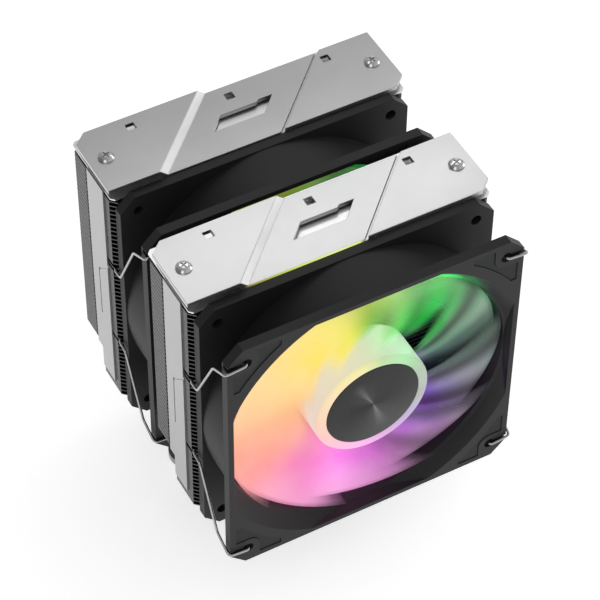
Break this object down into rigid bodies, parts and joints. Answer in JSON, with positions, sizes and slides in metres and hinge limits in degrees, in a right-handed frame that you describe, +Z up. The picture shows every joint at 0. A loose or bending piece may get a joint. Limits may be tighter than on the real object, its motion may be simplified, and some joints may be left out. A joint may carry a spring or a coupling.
{
  "type": "cpu tower cooler",
  "caption": "Tall processor cooler: fin towers on bent heat pipes above a contact base, silver sheet covers, and lit fans held on by swinging wire clips.",
  "frame": {"origin": "centre of the contact face under the base plate", "axes": "+X to the right as seen from the front fan, +Y from the front fan towards the rear tower, +Z up from the processor"},
  "size_m": [0.1246, 0.1226, 0.1594],
  "materials": {
    "nickel_copper": "nickel plated, satin",
    "blasted_aluminium": "bead blasted",
    "silver_aluminium": "mill, satin",
    "dark_fins": "black nickel, glossy",
    "plated_steel": "zinc plated",
    "bright_steel": "polished",
    "black_plastic": "fine matte texture",
    "rubber_pad": "matte",
    "lit_blades": "milky, lit from inside",
    "dark_cap": "brushed",
    "magnet": "matte",
    "bearing_brass": "sintered",
    "lamination": "satin",
    "copper_wire": "enamelled",
    "board": "solder mask"
  },
  "bodies": {
    "cooler_body": {"contact_plate": "nickel_copper", "clamp_block": "blasted_aluminium", "crossbar": "plated_steel", "crossbar_screws": "bright_steel", "heat_pipe_1": "nickel_copper", "heat_pipe_2": "nickel_copper", "heat_pipe_3": "nickel_copper", "heat_pipe_4": "nickel_copper", "heat_pipe_5": "nickel_copper", "heat_pipe_6": "nickel_copper", "spring_left": "bright_steel", "spring_right": "bright_steel", "front_fins": "dark_fins", "rear_fins": "dark_fins", "front_top_fin": "silver_aluminium", "rear_top_fin": "silver_aluminium", "front_side_plate_left": "silver_aluminium", "front_side_plate_right": "silver_aluminium", "rear_side_plate_left": "silver_aluminium", "rear_side_plate_right": "silver_aluminium", "front_cover": "blasted_aluminium", "rear_cover": "blasted_aluminium", "front_cover_screws": "bright_steel", "rear_cover_screws": "bright_steel", "front_fan_front_flange": "black_plastic", "front_fan_duct": "black_plastic", "front_fan_rear_flange": "black_plastic", "rear_fan_front_flange": "black_plastic", "rear_fan_duct": "black_plastic", "rear_fan_rear_flange": "black_plastic", "front_fan_pads": "rubber_pad", "rear_fan_pads": "rubber_pad", "front_bearing": "bearing_brass", "rear_bearing": "bearing_brass", "front_stator": "lamination", "rear_stator": "lamination", "front_coils": "copper_wire", "rear_coils": "copper_wire", "front_light_board": "board", "rear_light_board": "board"},
    "front_rotor": {"front_fan_rotor": "lit_blades", "front_hub_cap": "dark_cap", "front_rotor_yoke": "plated_steel", "front_ring_magnet": "magnet", "front_shaft": "bright_steel"},
    "rear_rotor": {"rear_fan_rotor": "lit_blades", "rear_hub_cap": "dark_cap", "rear_rotor_yoke": "plated_steel", "rear_ring_magnet": "magnet", "rear_shaft": "bright_steel"},
    "front_left_clip": {"front_clip_left": "bright_steel"},
    "front_right_clip": {"front_clip_right": "bright_steel"},
    "rear_left_clip": {"rear_clip_left": "bright_steel"},
    "rear_right_clip": {"rear_clip_right": "bright_steel"},
    "left_slider": {"thrust_washer_left": "bright_steel"},
    "left_screw": {"spring_screw_left": "bright_steel", "retaining_ring_left": "plated_steel"},
    "right_slider": {"thrust_washer_right": "bright_steel"},
    "right_screw": {"spring_screw_right": "bright_steel", "retaining_ring_right": "plated_steel"}
  },
  "joints": [
    {"name": "front_fan_spin", "type": "hinge", "parent": "cooler_body", "child": "front_rotor", "pos_m": [0, -0.0605, 0.094], "axis": [0, 1, 0], "continuous": true},
    {"name": "rear_fan_spin", "type": "hinge", "parent": "cooler_body", "child": "rear_rotor", "pos_m": [0, 0.0013, 0.094], "axis": [0, 1, 0], "continuous": true},
    {"name": "front_left_clip_swing", "type": "hinge", "parent": "cooler_body", "child": "front_left_clip", "pos_m": [-0.0582, -0.0436, 0.094], "axis": [0, 0, 1], "range_deg": [-60, 0]},
    {"name": "front_right_clip_swing", "type": "hinge", "parent": "cooler_body", "child": "front_right_clip", "pos_m": [0.0582, -0.0436, 0.094], "axis": [0, 0, 1], "range_deg": [0, 60]},
    {"name": "rear_left_clip_swing", "type": "hinge", "parent": "cooler_body", "child": "rear_left_clip", "pos_m": [-0.0582, 0.0182, 0.094], "axis": [0, 0, 1], "range_deg": [-60, 0]},
    {"name": "rear_right_clip_swing", "type": "hinge", "parent": "cooler_body", "child": "rear_right_clip", "pos_m": [0.0582, 0.0182, 0.094], "axis": [0, 0, 1], "range_deg": [0, 60]},
    {"name": "left_screw_travel", "type": "slide", "parent": "cooler_body", "child": "left_slider", "axis": [0, 0, -1], "range_m": [0, 0.005], "stiffness_N_per_m": 2000, "springref_m": -0.002, "deforming": ["spring_left"]},
    {"name": "left_screw_turn", "type": "hinge", "parent": "left_slider", "child": "left_screw", "pos_m": [-0.041, 0, 0.014], "axis": [0, 0, 1], "continuous": true},
    {"name": "right_screw_travel", "type": "slide", "parent": "cooler_body", "child": "right_slider", "axis": [0, 0, -1], "range_m": [0, 0.005], "stiffness_N_per_m": 2000, "springref_m": -0.002, "deforming": ["spring_right"]},
    {"name": "right_screw_turn", "type": "hinge", "parent": "right_slider", "child": "right_screw", "pos_m": [0.041, 0, 0.014], "axis": [0, 0, 1], "continuous": true}
  ]
}
